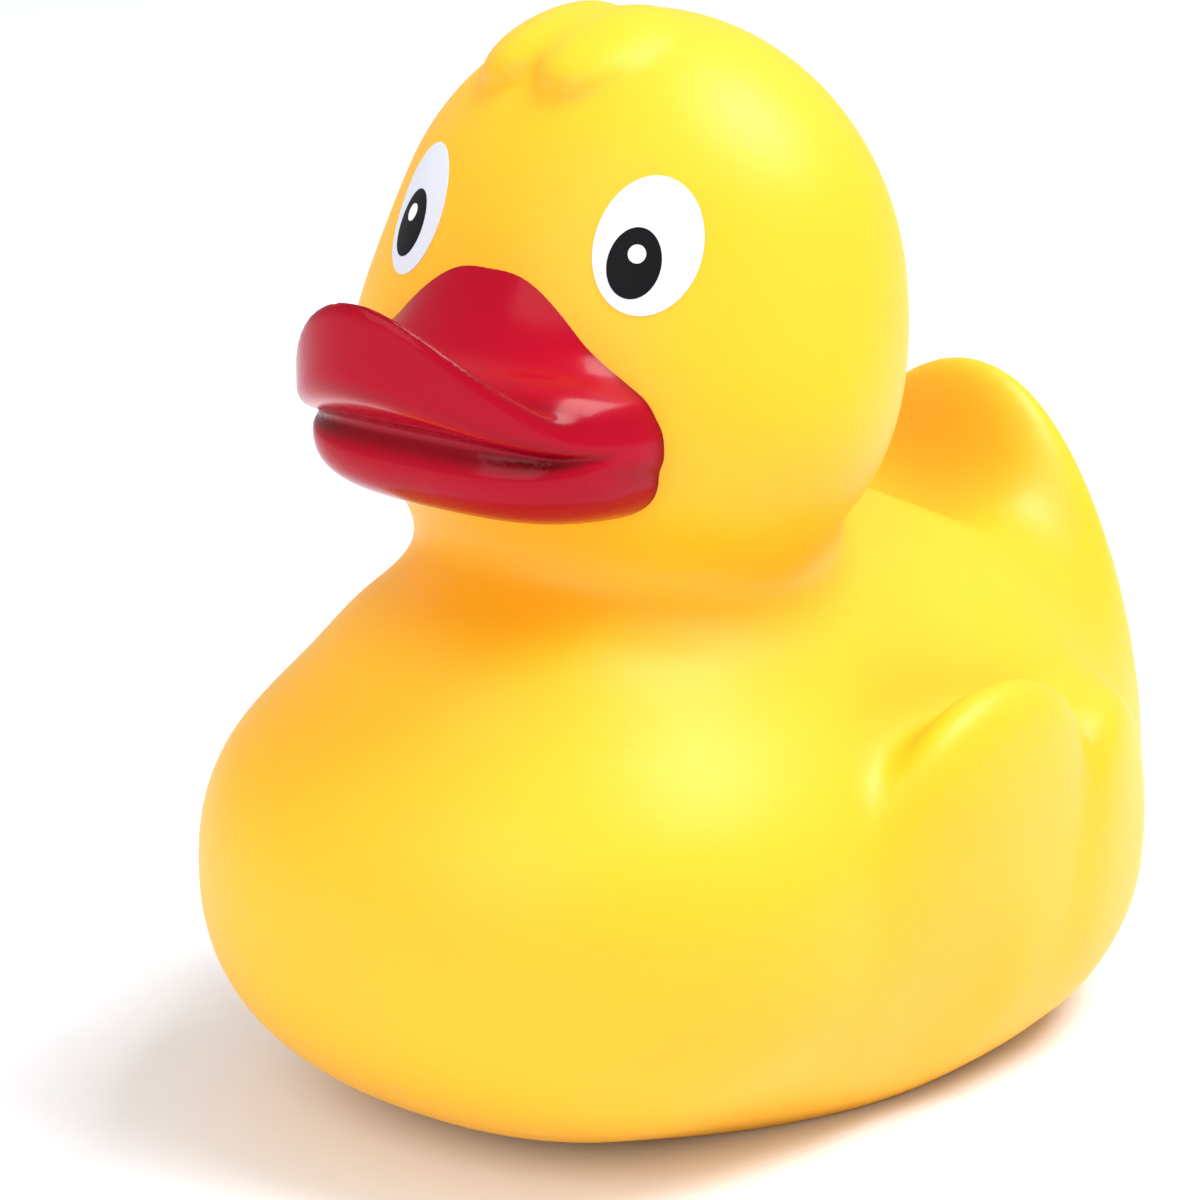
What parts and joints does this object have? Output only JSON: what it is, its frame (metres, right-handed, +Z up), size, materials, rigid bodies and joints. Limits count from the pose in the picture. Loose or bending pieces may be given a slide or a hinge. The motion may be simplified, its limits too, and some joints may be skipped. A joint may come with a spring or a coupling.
{
  "type": "rubber duck",
  "caption": "Hollow soft toy duck with upturned tail, raised wings and a lipped red beak, standing on a flat base with a squeaker pressed into it.",
  "frame": {"origin": "centre of the duck's bounding box, at the flat base it stands on", "axes": "+Z up, -Y the way the beak points, +X the duck's own left side"},
  "size_m": [0.0702, 0.0987, 0.0952],
  "materials": {
    "yellow_pvc": "satin, soft and slightly translucent; beak painted glossy red, eyes printed black and white",
    "white_plastic": "moulded, matt",
    "reed_plastic": "thin stamped film"
  },
  "bodies": {
    "root": {"duck_body": "yellow_pvc", "squeaker_housing": "white_plastic", "squeaker_reed": "reed_plastic", "squeaker_cap": "white_plastic"}
  },
  "joints": []
}
